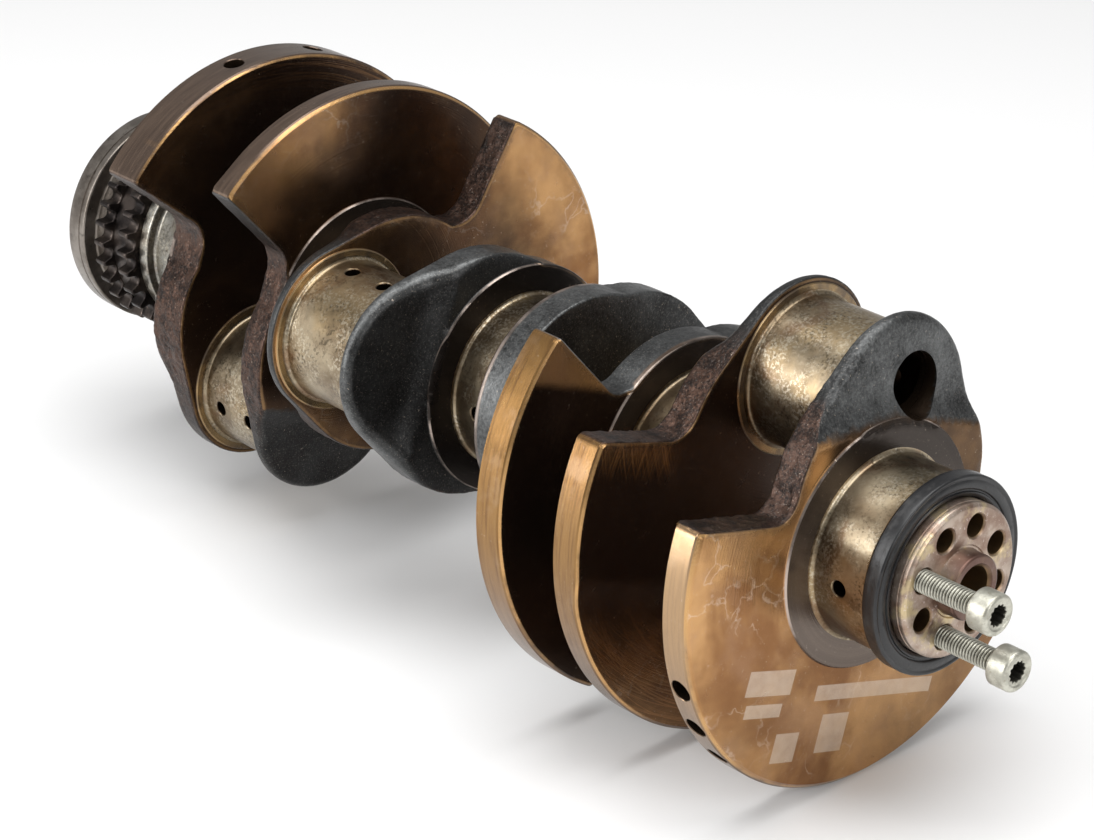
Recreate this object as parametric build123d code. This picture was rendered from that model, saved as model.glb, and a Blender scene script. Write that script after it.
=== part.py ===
from build123d import *
import math
import os

# Crankshaft of a cross-plane V8 petrol engine, with its front shaft seal and two
# vibration damper bolts. Millimetres. +X is the shaft axis, pointing out of the nose.
# +Z is up. The origin is on the shaft axis, in the middle of the third main journal.
#
# The shaft is one forging. It is built here as the lengths that a drawing names: nose hub,
# main journals, webs, crankpins, sprocket rows and flange. Each meets the next in a flat
# face square to X, and all of them make one rigid body.

# ---- driving dimensions ----
bore_pitch = 90.0          # one main journal to the next
stroke = 89.0
main_radius = 32.5
pin_radius = 27.0
main_width = 24.0          # between the raised collars
web_width = 14.2           # collar face to crankpin ring face
rear_web_width = 20.2
counterweight_radius = 88.5
first_pin_lean = 20.5      # degrees from +Z towards +Y

throw = stroke / 2
pin_width = bore_pitch - main_width - 2 * web_width
pin_angle = {1: first_pin_lean, 2: first_pin_lean + 90, 3: first_pin_lean - 90, 4: first_pin_lean + 180}

# ---- stations along X ----
main_centre = {n: bore_pitch * (3 - n) for n in range(1, 6)}
pin_centre = {n: bore_pitch * (2.5 - n) for n in range(1, 5)}
main_front = {n: main_centre[n] + main_width / 2 for n in main_centre}
main_front[5] = pin_centre[4] - pin_width / 2 - rear_web_width
hub_length = 11.7
hub_face = main_front[1] + hub_length

# ---- journals ----
journal_fillet = 1.6
collar_radius = 44.2       # raised thrust collar round each main journal
collar_height = 1.0
pin_ring_radius = 31.0     # raised ring round each crankpin
pin_ring_height = 0.6
oil_hole_radius = 2.8
main_oil_angle = -111.0    # degrees from the first crankpin's direction
pin_oil_angle = 64.0       # degrees from that crankpin's own direction
pin_oil_offset = 9.0       # each side of the crankpin's middle, one for each rod
oil_hole_depth = 14.0

# ---- webs ----
shoulder_centre = 18.0     # the widest part of a web, from the shaft axis
shoulder_radius = 46.5
lobe_radius = 33.0         # round the crankpin
waist_fillet = 9.0
tip_fillet = 2.5
lobe_bevel = ((42.0, 0.0), (51.0, 5.0), (84.0, 8.4))   # height from the axis, depth cut
relief_depth = 2.4         # counterweight set back from the crankpin ring
relief_height = -34.0
balance_hole_radius = 4.0
balance_hole_depth = 16.0
lightening_radius = 11.7
lightening_centre = (53.6, 3.0)
lightening_bottom = 6.0    # left at the far end of the crankpin

# Counterweight edges in a web's own frame: u along its crankpin's direction, v a quarter
# turn further. Each edge runs from its foot near the waist to a point outside the rim.
end_web_edges = (((6.0, -42.0), (1.0, -96.0)), ((-11.0, 42.0), (-31.0, 95.0)))
next_web_edges = (((17.0, -44.0), (14.0, -96.0)), ((-13.0, 40.0), (-44.0, 95.0)))
inner_web_edges = (((-36.0, -15.0), (-90.0, -45.0)), ((-5.0, 42.0), (-17.0, 95.0)))

# ---- nose ----
hub_radius = 27.0
hub_chamfer = 1.0
boss_radius = 11.5
boss_length = 6.3
nose_bore_radius = 7.5
nose_bore_depth = 32.0
damper_hole_count = 8
damper_circle_radius = 19.2
damper_hole_radius = 4.08
damper_hole_depth = 37.0

# ---- rear end ----
rear_collar_radius = 36.5
rear_collar_length = 5.6
drum_radius = 37.5
chain_pitch = 8.0
tooth_count = 32
tooth_height = 2.1         # above the pitch circle
roller_radius = 2.55
sprocket_width = 6.4
sprocket_gap = 9.4
flange_neck_length = 6.0
flange_radius = 43.7
flange_width = 10.7
flange_groove_depth = 0.6
flywheel_hole_count = 8
flywheel_circle_radius = 31.0
flywheel_hole_radius = 5.05
flywheel_hole_depth = 30.0
pilot_bore_radius = 17.5
pilot_bore_depth = 14.0

# ---- front seal ----
seal_radius = 35.0
seal_width = 6.0
seal_gap = 0.6             # clear of the first main journal's end
seal_lip_clearance = 0.05
seal_cover = 1.0           # rubber over the steel case
case_thickness = 1.0
spring_wire_radius = 0.75

# ---- damper bolts, M8 with a twelve point socket ----
bolt_radius = 4.0
bolt_length = 35.0
bolt_head_radius = 7.2
bolt_head_length = 8.0
bolt_exposed = 23.8        # bare thread between the hub face and the head
socket_radius = 3.9
socket_inner_radius = 3.2
socket_depth = 5.0
bolt_hole_angles = (-90.0, 180.0)


def across(angle):
    """Unit vector square to X, at an angle from +Z towards +Y."""
    return Vector(0, math.sin(math.radians(angle)), math.cos(math.radians(angle)))


def section_plane(x, angle):
    """Plane square to X: its x is the given direction, its normal points to the rear."""
    return Plane(origin=(x, 0, 0), x_dir=across(angle), z_dir=(-1, 0, 0))


def disc(x_front, length, radius, angle=0.0, offset=0.0):
    """Round length of shaft from x_front to the rear, offset along an angle."""
    plane = section_plane(x_front, angle)
    return extrude(plane * Pos(offset, 0) * Circle(radius), length)


def turned(profile, x_front, angle=0.0, offset=0.0):
    """Turn a profile of (distance to the rear, radius) points about a line along X."""
    centre = across(angle) * offset
    plane = Plane(origin=(x_front, centre.Y, centre.Z), x_dir=(-1, 0, 0), z_dir=(0, 1, 0))
    face = plane * make_face(Polyline(*profile, close=True))
    return revolve(face, Axis((x_front, centre.Y, centre.Z), (1, 0, 0)))


def radial_hole(x, angle, centre_offset, hole_angle, surface_radius, radius, depth):
    """Drilling towards a line along X that stands centre_offset out along angle."""
    centre = across(angle) * centre_offset + Vector(x, 0, 0)
    outward = across(hole_angle)
    start = centre + outward * (surface_radius + 5)
    return extrude(Plane(origin=start, z_dir=-outward) * Circle(radius), depth + 5)


def axial_holes(x_face, direction, count, circle_radius, radius, depth, first_angle):
    """Ring of drillings along X into a face; direction is -1 to the rear."""
    holes = []
    for i in range(count):
        angle = first_angle + i * 360 / count
        centre = across(angle) * circle_radius
        plane = Plane(origin=(x_face - direction, centre.Y, centre.Z), z_dir=(direction, 0, 0))
        holes.append(extrude(plane * Circle(radius), depth + 1))
    return holes


def journal(x_front, length, radius, angle=0.0, offset=0.0):
    """Ground journal whose two ends flare into the webs."""
    flare = journal_fillet
    steps = [math.radians(a) for a in (30, 60)]
    arc = [(flare - flare * math.sin(t), flare - flare * math.cos(t)) for t in steps]
    front = [(0, 0), (0, radius + flare)] + [(x, radius + h) for x, h in reversed(arc)]
    front.append((flare, radius))
    rear = [(length - x, r) for x, r in reversed(front)]
    return turned(front + rear, x_front, angle, offset)


def web_outline(edges):
    """Face of a web: lobe, shoulders and, where edges are given, a counterweight."""
    reach = throw - shoulder_centre
    tangent = math.acos((shoulder_radius - lobe_radius) / reach)
    c = math.cos(tangent)
    s = math.sin(tangent)
    near = (shoulder_centre + shoulder_radius * c, shoulder_radius * s)
    far = (throw + lobe_radius * c, lobe_radius * s)
    sides = Polygon(near, (near[0], -near[1]), (far[0], -far[1]), far, align=None)
    outline = Circle(collar_radius) + Pos(shoulder_centre, 0) * Circle(shoulder_radius)
    outline = outline + Pos(throw, 0) * Circle(lobe_radius) + sides
    if edges is None:
        return outline
    (foot_a, end_a), (foot_b, end_b) = edges
    far_side = 2 * counterweight_radius
    sector = Polygon((0, 0), foot_a, end_a, (end_a[0] - far_side, end_a[1] - 5),
                     (end_b[0] - far_side, end_b[1] + 5), end_b, foot_b, align=None)
    return outline + (Circle(counterweight_radius) & sector)


def web_slab(edges, thickness):
    """Flat web in its own frame, with rounded waists and rim corners."""
    slab = extrude(web_outline(edges), thickness)
    if edges is None:
        return slab
    uprights = slab.edges().filter_by(Axis.Z)
    tips = []
    waists = []
    for edge in uprights:
        foot = edge.center()
        distance = math.hypot(foot.X, foot.Y)
        if distance > counterweight_radius - 1:
            tips.append(edge)
        elif distance < 62 and near_edge_foot(foot, edges):
            waists.append(edge)
    slab = fillet(tips, tip_fillet)
    waists = [e for e in slab.edges().filter_by(Axis.Z) if any(
        (e.center() - w.center()).length < 0.01 for w in waists)]
    return fillet(waists, waist_fillet)


def near_edge_foot(point, edges):
    """True where a counterweight edge meets the web's side."""
    for foot, end in edges:
        span = Vector(end[0] - foot[0], end[1] - foot[1])
        away = Vector(point.X - foot[0], point.Y - foot[1])
        if abs(span.X * away.Y - span.Y * away.X) / span.length < 0.01:
            return True
    return False


def web(width, pin_behind, edges, relieved=False):
    """One web with its front at X = 0 and its crankpin straight up, on the side named."""
    collar_depth = 0 if pin_behind else width - collar_height
    ring_depth = width - pin_ring_height if pin_behind else 0
    slab_start = collar_height if pin_behind else pin_ring_height
    thickness = width - collar_height - pin_ring_height
    slab = section_plane(-slab_start, 0) * web_slab(edges, thickness)
    collar = disc(-collar_depth, collar_height, collar_radius)
    ring = disc(-ring_depth, pin_ring_height, pin_ring_radius, 0, throw)
    body = slab + collar + ring
    collar_face = slab_start if pin_behind else width - collar_height
    into = 1 if pin_behind else -1
    outside = 6.0
    profile = [(collar_face + into * d, h) for h, d in lobe_bevel]
    profile.append((collar_face - into * outside, lobe_bevel[-1][0]))
    profile.append((collar_face - into * outside, lobe_bevel[0][0]))
    body = body - side_cut(profile)
    if relieved:
        ring_face = width - pin_ring_height if pin_behind else pin_ring_height
        edge = ring_face - into * relief_depth
        low = -counterweight_radius - 5
        profile = [(edge, low), (edge, relief_height), (ring_face + into * outside, relief_height),
                   (ring_face + into * outside, low)]
        body = body - side_cut(profile)
    return body


def side_cut(profile):
    """Prism right across a web from (distance to the rear, height) points."""
    span = 2 * counterweight_radius + 20
    plane = Plane(origin=(0, span / 2, 0), x_dir=(-1, 0, 0), z_dir=(0, 1, 0))
    return extrude(plane * make_face(Polyline(*profile, close=True)), -span)


def sprocket(x_front):
    """Row of chain teeth cut into the shaft: roller seats round a plain disc."""
    pitch_radius = chain_pitch / 2 / math.sin(math.pi / tooth_count)
    face = Circle(pitch_radius + tooth_height)
    opening = roller_radius * 1.45
    outside = tooth_height + 1.0
    seats = []
    for i in range(tooth_count):
        turn = i * 360 / tooth_count
        wedge = Polygon((0, -roller_radius), (outside, -opening), (outside, opening),
                        (0, roller_radius), align=None)
        seats.append(Rot(0, 0, turn) * Pos(pitch_radius, 0) * (Circle(roller_radius) + wedge))
    face = face - seats
    return extrude(section_plane(x_front, first_pin_lean) * face, sprocket_width)


def nose_hub():
    hub = disc(hub_face, hub_length, hub_radius)
    hub = chamfer(hub.edges().filter_by(GeomType.CIRCLE).sort_by(Axis.X)[-1], hub_chamfer)
    boss = disc(hub_face + boss_length, boss_length, boss_radius)
    boss = chamfer(boss.edges().filter_by(GeomType.CIRCLE).sort_by(Axis.X)[-1], hub_chamfer)
    return hub + boss


def nose_drillings():
    holes = axial_holes(hub_face, -1, damper_hole_count, damper_circle_radius,
                        damper_hole_radius, damper_hole_depth, first_pin_lean)
    bore_start = hub_face + boss_length
    bore = disc(bore_start + 1, nose_bore_depth + 1, nose_bore_radius)
    lead_in = turned([(-0.01, 0), (-0.01, nose_bore_radius + 1.2), (1.2, nose_bore_radius), (1.2, 0)],
                     bore_start)
    return holes + [bore, lead_in]


def flange_drillings(x_rear):
    holes = axial_holes(x_rear, 1, flywheel_hole_count, flywheel_circle_radius,
                        flywheel_hole_radius, flywheel_hole_depth, first_pin_lean)
    pilot = disc(x_rear + pilot_bore_depth, pilot_bore_depth + 1, pilot_bore_radius)
    return holes + [pilot]


def flywheel_flange(x_front):
    neck = flange_neck_length
    end = neck + flange_width
    middle = neck + 0.32 * flange_width
    profile = [(0, 0), (0, drum_radius), (neck, drum_radius), (neck, flange_radius - 0.8),
               (neck + 0.8, flange_radius), (middle - 0.5, flange_radius),
               (middle, flange_radius - flange_groove_depth), (middle + 0.5, flange_radius),
               (end - 0.8, flange_radius), (end, flange_radius - 0.8), (end, 0)]
    return turned(profile, x_front)


def seal_parts():
    """Rubber body, steel case and garter spring of the front shaft seal."""
    rear = main_front[1] + seal_gap
    front = rear + seal_width
    inner = hub_radius + seal_lip_clearance
    case_outer = seal_radius - seal_cover
    case_inner = inner + 2.9
    case = turned([(seal_cover, case_inner), (seal_cover, case_outer),
                   (seal_width, case_outer), (seal_width, case_outer - case_thickness),
                   (seal_cover + case_thickness, case_outer - case_thickness),
                   (seal_cover + case_thickness, case_inner)], front)
    lip_depth = seal_width - 0.9
    groove = seal_width - 2.0
    rubber = turned([(0.3, inner + 1.1), (0, inner + 1.9), (0, seal_radius - 0.6),
                     (0.6, seal_radius), (seal_width - 0.5, seal_radius),
                     (seal_width, case_outer), (seal_cover, case_outer),
                     (seal_cover, case_inner), (seal_cover + case_thickness, case_inner),
                     (seal_cover + case_thickness, inner + 1.5), (groove - 1.0, inner + 1.3),
                     (groove, inner + 0.8), (groove + 0.8, inner + 0.8), (lip_depth, inner + 0.5),
                     (groove + 0.4, inner), (seal_cover + 1.4, inner + 0.4),
                     (0.8, inner + 0.3)], front)
    spring_line = inner + 0.8 + spring_wire_radius + 0.08
    spring_ring = Plane(origin=(front - groove - 0.1, 0, 0), z_dir=(1, 0, 0))
    spring = spring_ring * Torus(spring_line, spring_wire_radius)
    return rubber, case, spring


def damper_bolt(angle):
    """Bolt whose head stands bolt_exposed off the hub face."""
    centre = across(angle) * damper_circle_radius
    under_head = hub_face + bolt_exposed
    top = under_head + bolt_head_length
    head_plane = Plane(origin=(under_head, centre.Y, centre.Z), x_dir=across(angle), z_dir=(1, 0, 0))
    head = extrude(head_plane * Circle(bolt_head_radius), bolt_head_length)
    head = chamfer(head.edges().filter_by(GeomType.CIRCLE), 0.7)
    shank = extrude(head_plane * Circle(bolt_radius), -bolt_length)
    shank = chamfer(shank.edges().filter_by(GeomType.CIRCLE).sort_by(Axis.X)[0], 0.8)
    points = []
    for i in range(24):
        radius = socket_radius if i % 2 == 0 else socket_inner_radius
        turn = math.radians(i * 15)
        points.append((radius * math.cos(turn), radius * math.sin(turn)))
    socket_plane = head_plane.offset(bolt_head_length - socket_depth)
    socket = extrude(socket_plane * make_face(Polyline(*points, close=True)), top - under_head)
    return head + shank - socket


def rim_drilling(x, angle, hole_angle):
    return radial_hole(x, 0, 0, angle + hole_angle, counterweight_radius,
                       balance_hole_radius, balance_hole_depth)


def build():
    parts = {}
    drillings = nose_drillings()
    parts["nose_hub"] = nose_hub() - drillings

    for n in range(1, 6):
        bore = journal(main_front[n], main_width, main_radius)
        oil_angle = first_pin_lean + main_oil_angle
        for turn in (0, 180):
            bore = bore - radial_hole(main_front[n] - main_width / 2, 0, 0, oil_angle + turn,
                                      main_radius, oil_hole_radius, oil_hole_depth)
        parts[f"main_journal_{n}"] = bore
    parts["main_journal_1"] = parts["main_journal_1"] - drillings

    lightening_length = web_width + pin_width - lightening_bottom
    web_1_front = main_front[1] - main_width
    lightening = extrude(section_plane(web_1_front + 1, pin_angle[1]) * Pos(*lightening_centre)
                         * Circle(lightening_radius), lightening_length + 1)

    for n in range(1, 5):
        front = pin_centre[n] + pin_width / 2
        pin = journal(front, pin_width, pin_radius, pin_angle[n], throw)
        for side in (-1, 1):
            pin = pin - radial_hole(pin_centre[n] + side * pin_oil_offset, pin_angle[n], throw,
                                    pin_angle[n] + pin_oil_angle, pin_radius, oil_hole_radius,
                                    oil_hole_depth)
        parts[f"crankpin_{n}"] = pin
    parts["crankpin_1"] = parts["crankpin_1"] - lightening

    edges = {1: end_web_edges, 2: next_web_edges, 3: inner_web_edges, 4: None,
             5: None, 6: inner_web_edges, 7: next_web_edges, 8: end_web_edges}
    for n in range(1, 9):
        pin = (n + 1) // 2
        pin_behind = n % 2 == 1
        width = rear_web_width if n == 8 else web_width
        front = pin_centre[pin] + pin_width / 2 + width if pin_behind else pin_centre[pin] - pin_width / 2
        shape = web(width, pin_behind, edges[n], n in (2, 7))
        parts[f"web_{n}"] = Pos(front, 0, 0) * Rot(-pin_angle[pin], 0, 0) * shape
    parts["web_1"] = parts["web_1"] - lightening - drillings
    for hole_angle in (-127.5, -139.2, -150.9):
        parts["web_1"] = parts["web_1"] - rim_drilling(web_1_front - web_width / 2,
                                                       pin_angle[1], hole_angle)
    for hole_angle in (150.9, 176.1):
        parts["web_8"] = parts["web_8"] - rim_drilling(main_front[5] + rear_web_width / 2,
                                                       pin_angle[4], hole_angle)

    x = main_front[5] - main_width
    parts["rear_collar"] = disc(x, rear_collar_length, rear_collar_radius)
    x = x - rear_collar_length
    parts["chain_sprocket_inner"] = sprocket(x)
    x = x - sprocket_width
    parts["sprocket_spacer"] = disc(x, sprocket_gap, drum_radius)
    x = x - sprocket_gap
    parts["chain_sprocket_outer"] = sprocket(x)
    x = x - sprocket_width
    rear_face = x - flange_neck_length - flange_width
    rear_drillings = flange_drillings(rear_face)
    parts["flywheel_flange"] = flywheel_flange(x)
    for name in ("flywheel_flange", "chain_sprocket_outer", "sprocket_spacer"):
        parts[name] = parts[name] - rear_drillings

    parts["seal_rubber"], parts["seal_steel_case"], parts["seal_garter_spring"] = seal_parts()
    for n, hole_angle in enumerate(bolt_hole_angles, 1):
        parts[f"damper_bolt_{n}"] = damper_bolt(first_pin_lean + hole_angle)

    os.makedirs("parts", exist_ok=True)
    for name, shape in parts.items():
        solids = shape.solids()
        export_step(solids[0] if len(solids) == 1 else Compound(solids), f"parts/{name}.step")


build()
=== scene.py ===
import math

import bmesh
import bpy
import numpy as np
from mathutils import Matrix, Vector, noise
from mathutils.geometry import delaunay_2d_cdt


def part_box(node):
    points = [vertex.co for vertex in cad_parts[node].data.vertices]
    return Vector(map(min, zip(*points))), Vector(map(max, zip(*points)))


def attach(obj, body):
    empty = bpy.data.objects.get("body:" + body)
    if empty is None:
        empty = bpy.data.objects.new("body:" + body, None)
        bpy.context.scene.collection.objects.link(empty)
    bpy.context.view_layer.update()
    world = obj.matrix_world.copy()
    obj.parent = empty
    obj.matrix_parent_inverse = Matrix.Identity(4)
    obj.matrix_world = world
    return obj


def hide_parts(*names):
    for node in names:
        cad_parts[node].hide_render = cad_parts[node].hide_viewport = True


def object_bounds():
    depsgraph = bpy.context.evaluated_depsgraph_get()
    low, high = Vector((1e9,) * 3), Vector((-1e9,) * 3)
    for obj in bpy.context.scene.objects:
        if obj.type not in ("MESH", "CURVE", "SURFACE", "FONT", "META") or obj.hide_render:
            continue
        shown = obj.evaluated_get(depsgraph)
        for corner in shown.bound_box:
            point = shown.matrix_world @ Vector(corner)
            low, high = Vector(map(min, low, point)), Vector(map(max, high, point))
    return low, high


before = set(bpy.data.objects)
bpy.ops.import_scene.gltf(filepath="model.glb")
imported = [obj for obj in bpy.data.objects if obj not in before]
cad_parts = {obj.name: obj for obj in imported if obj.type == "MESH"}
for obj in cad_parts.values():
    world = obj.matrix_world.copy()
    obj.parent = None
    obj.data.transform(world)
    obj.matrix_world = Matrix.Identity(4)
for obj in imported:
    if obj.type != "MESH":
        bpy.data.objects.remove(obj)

cad_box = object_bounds()

# Lengths below are millimetres in the row frame: X is the shaft axis, pointing out of the
# nose, and Z is up. They become metres when a mesh is made. Angles are degrees from +Z
# towards +Y. A web's own frame is d, the depth behind its front, u, along its crankpin's
# direction, and v, a quarter turn further.

MM = 0.001
GRID = 2.2
GRID_REACH = 92
WALL_STEP = 0.85
STEP_POINTS = 300


# ---- places from the CAD model ----

def span(node):
    """Front and rear of a CAD node along X."""
    low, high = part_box(node)
    return high.x / MM, low.x / MM


def polar(y, z):
    return math.degrees(math.atan2(y, z)), math.hypot(y, z)


def pin_place(n):
    low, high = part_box(f"crankpin_{n}")
    middle = (low + high) / 2
    return polar(middle.y / MM, middle.z / MM)


def radius_of(node):
    low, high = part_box(node)
    return (high.z - low.z) / 2 / MM


def across(angle):
    """Unit vector square to X."""
    return np.array([0.0, math.sin(math.radians(angle)), math.cos(math.radians(angle))])


PIN_ANGLE = {n: pin_place(n)[0] for n in range(1, 5)}
THROW = pin_place(2)[1]
LEAN = PIN_ANGLE[1]
WEB_PIN = {n: (n + 1) // 2 for n in range(1, 9)}

JOURNAL_FILLET = 1.6
MAIN_RADIUS = radius_of("main_journal_2") - JOURNAL_FILLET
PIN_RADIUS = radius_of("crankpin_2") - JOURNAL_FILLET

# A web's outline is an arm, the hull of a shoulder circle and a lobe circle about the crankpin,
# joined to a counterweight, which is a rim circle cut off by two straight edges. Each edge is a line
# through two (u, v) points. The collar is about the shaft axis, and the ring is about the crankpin.
COLLAR_RADIUS = 44.2
COLLAR_HEIGHT = 1.0
RING_RADIUS = 31.0
RING_HEIGHT = 0.6
SHOULDER_CENTRE = 18.0
SHOULDER_RADIUS = 46.5
LOBE_RADIUS = 33.0
RIM_RADIUS = 88.5
WAIST_FILLET = 9.0
TIP_FILLET = 2.5
STEP_CIRCLES = [(0.0, COLLAR_RADIUS + s) for s in (-0.4, -0.15, 0.05, 0.3)]
STEP_CIRCLES += [(THROW, RING_RADIUS + s) for s in (-0.35, -0.1, 0.25)]
BEVEL_HEIGHTS = (42.0, 43.5, 46.0, 49.0, 52.0, 58.0, 84.0)
BEVEL_DEPTHS = (0.0, 0.35, 1.9, 3.9, 5.1, 5.9, 8.4)
RELIEF_DEPTH = 2.4
RELIEF_HEIGHT = -34.0
LOBE_SKEW = 0.33
END_EDGES = (((6.0, -42.0), (1.0, -96.0)), ((-11.0, 42.0), (-31.0, 95.0)))
NEXT_EDGES = (((17.0, -44.0), (14.0, -96.0)), ((-13.0, 40.0), (-44.0, 95.0)))
INNER_EDGES = (((-36.0, -15.0), (-90.0, -45.0)), ((-5.0, 42.0), (-17.0, 95.0)))
EDGES = {1: END_EDGES, 2: NEXT_EDGES, 3: INNER_EDGES, 4: None,
         5: None, 6: INNER_EDGES, 7: NEXT_EDGES, 8: END_EDGES}
INSIDE_COUNTERWEIGHT = (-40.0, 10.0)

# For each web: the lacquer left on its faces, least and most, with the lower values on the inner webs also
# painting the shade between the webs, and on its rim, the brightness of its collar and of its scale, the
# roughness of its arms, and the chamfer at its rim.
GOLD_AND_SHADE = {1: (0.22, 1.0), 2: (0.03, 0.42), 3: (0.0, 0.95), 4: (0.0, 0.0), 5: (0.0, 0.0),
        6: (0.25, 0.72), 7: (0.12, 0.72), 8: (0.05, 0.24)}
RIM_GOLD = {1: 0.85, 2: 0.9, 3: 1.0, 4: 0.0, 5: 0.0, 6: 0.4, 7: 0.06, 8: 0.04}
COLLAR_TONE = {1: 0.85, 2: 0.6, 3: 0.4, 4: 0.12, 5: 0.05, 6: 0.3, 7: 0.35, 8: 0.3}
SCALE_TONE = {1: 0.95, 2: 0.3, 3: 0.4, 4: 0.30, 5: 0.28, 6: 0.3, 7: 0.25, 8: 0.15}
ARM_RELIEF = {1: 1.0, 2: 1.0, 3: 0.25, 4: 0.2, 5: 0.25, 6: 0.5, 7: 0.6, 8: 1.0}
RIM_CHAMFER = {1: 2.0, 2: 1.3, 3: 1.2, 4: 0.7, 5: 0.7, 6: 1.2, 7: 1.6, 8: 1.3}


# ---- meshes ----

def smooth(x, low, high):
    t = np.clip((np.asarray(x, float) - low) / (high - low), 0, 1)
    return t * t * (3 - 2 * t)


def lumps(points, size, seed=0.0):
    """Smooth noise from -1 to 1 at each point, with features of about that size."""
    shift = Vector((seed * 17.3, seed * 5.1, seed * 11.7))
    return np.array([noise.noise(Vector(p) / size + shift) for p in points])


def full_turn(count):
    """Even angles round a circle, in radians."""
    return np.linspace(0, 2 * math.pi, count, endpoint=False)


class Shape:
    """Points and faces collected before they become one mesh."""

    def __init__(self):
        self.points = []
        self.faces = []

    def add(self, points):
        first = len(self.points)
        self.points.extend(tuple(p) for p in points)
        return list(range(first, len(self.points)))

    def strip(self, a, b):
        """Quads between two closed rings of the same number of points."""
        count = len(a)
        for i in range(count):
            j = (i + 1) % count
            self.faces.append((a[i], a[j], b[j], b[i]))

    def tube(self, rings, closed=False):
        """Join each ring to the next, and then cap the ends, or join the last to the first."""
        for a, b in zip(rings, rings[1:]):
            self.strip(a, b)
        if closed:
            self.strip(rings[-1], rings[0])
        else:
            self.faces += [tuple(rings[0]), tuple(rings[-1][::-1])]

    def object(self, name):
        mesh = bpy.data.meshes.new(name)
        mesh.from_pydata([[c * MM for c in p] for p in self.points], [], self.faces)
        bm = bmesh.new()
        bm.from_mesh(mesh)
        bmesh.ops.remove_doubles(bm, verts=bm.verts, dist=1e-6)
        bmesh.ops.dissolve_degenerate(bm, dist=1e-7, edges=bm.edges)
        bmesh.ops.recalc_face_normals(bm, faces=bm.faces)
        bm.to_mesh(mesh)
        bm.free()
        made = bpy.data.objects.new(name, mesh)
        bpy.context.scene.collection.objects.link(made)
        return made


def basis(direction):
    """Two unit vectors square to a direction."""
    axis = Vector(direction).normalized()
    side = axis.orthogonal().normalized()
    return np.array(axis), np.array(side), np.array(axis.cross(side))


def lathe(name, origin, direction, profile, segments=192):
    """Turn (distance, radius) points about a line; a radius of 0 closes an end."""
    axis, side, other = basis(direction)
    shape = Shape()
    rings = []
    turns = full_turn(segments)
    for distance, radius in profile:
        centre = np.array(origin) + axis * distance
        if radius < 1e-6:
            rings.append(shape.add([centre]) * segments)
            continue
        rings.append(shape.add([centre + radius * (math.cos(t) * side + math.sin(t) * other)
                                for t in turns]))
    for a, b in zip(rings, rings[1:]):
        for i in range(segments):
            j = (i + 1) % segments
            corners = [a[i], a[j], b[j], b[i]]
            corners = [c for k, c in enumerate(corners) if c not in corners[:k]]
            if len(corners) > 2:
                shape.faces.append(tuple(corners))
    return shape.object(name)


def arc(centre, radius, start, end, steps=6):
    """Points (distance, radius) on an arc; angles from the distance axis."""
    return [(centre[0] + radius * math.cos(math.radians(a)),
             centre[1] + radius * math.sin(math.radians(a)))
            for a in np.linspace(start, end, steps)]


def cut(piece, cutters):
    """Take the cutters away from a piece."""
    for cutter in cutters:
        modifier = piece.modifiers.new("cut", "BOOLEAN")
        modifier.object = cutter
        modifier.operation = "DIFFERENCE"
        modifier.solver = "EXACT"
    depsgraph = bpy.context.evaluated_depsgraph_get()
    mesh = bpy.data.meshes.new_from_object(piece.evaluated_get(depsgraph))
    piece.modifiers.clear()
    piece.data = mesh
    for cutter in cutters:
        bpy.data.objects.remove(cutter)


DRILLED = []


def drilling(origin, direction, radius, depth, flare=0.5):
    """Cutter for a hole: origin is on the surface, and direction points into the metal."""
    DRILLED.append((np.array(origin, float), np.array(direction, float), radius, depth, flare))
    return lathe("cutter", origin, direction,
                 [(-3, 0), (-3, radius + flare + 1), (-1, radius + flare + 1), (0, radius + flare),
                  (flare, radius), (depth, radius), (depth + 0.5 * radius, 0)], 40)


def vectors(piece, kind):
    flat = np.zeros(len(piece.data.vertices) * 3)
    piece.data.vertices.foreach_get(kind, flat)
    return flat.reshape(-1, 3)


def coordinates(piece):
    return vectors(piece, "co") / MM


def move_points(piece, points):
    piece.data.vertices.foreach_set("co", (points * MM).ravel())
    piece.data.update()


def mask(piece, name, values):
    made = piece.data.attributes.new(name, "FLOAT", "POINT")
    made.data.foreach_set("value", np.asarray(values, np.float32))


def hole_mask(points):
    """1 on the walls of every drilling."""
    values = np.zeros(len(points))
    for origin, direction, radius, deep, flare in DRILLED:
        away = points - origin
        depth = away @ direction
        distance = np.linalg.norm(away - depth[:, None] * direction, axis=1)
        within = (depth > flare - 0.05) & (depth < deep + 0.6 * radius)
        values[within & (distance < radius + 0.03)] = 1
    return values


def finish_piece(piece, material, body, nodes, sharp=38):
    """Shade a piece, give it its finish, and say what it stands for."""
    mesh = piece.data
    if "hole" not in mesh.attributes:
        mask(piece, "hole", hole_mask(coordinates(piece)))
    mesh.polygons.foreach_set("use_smooth", [True] * len(mesh.polygons))
    mesh.set_sharp_from_angle(angle=math.radians(sharp))
    mesh.materials.clear()
    mesh.materials.append(material)
    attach(piece, body)
    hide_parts(*nodes)


# ---- webs ----

def uneven_capsule(u, v):
    """Signed distance to the hull of a web's shoulder circle and its lobe circle."""
    reach = THROW - SHOULDER_CENTRE
    lean = (SHOULDER_RADIUS - LOBE_RADIUS) / reach
    upright = math.sqrt(1 - lean * lean)
    x = np.abs(v)
    y = u - SHOULDER_CENTRE
    along = -lean * x + upright * y
    side = upright * x + lean * y - SHOULDER_RADIUS
    near = np.hypot(x, y) - SHOULDER_RADIUS
    far = np.hypot(x, y - reach) - LOBE_RADIUS
    return np.where(along < 0, near, np.where(along > upright * reach, far, side))


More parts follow.
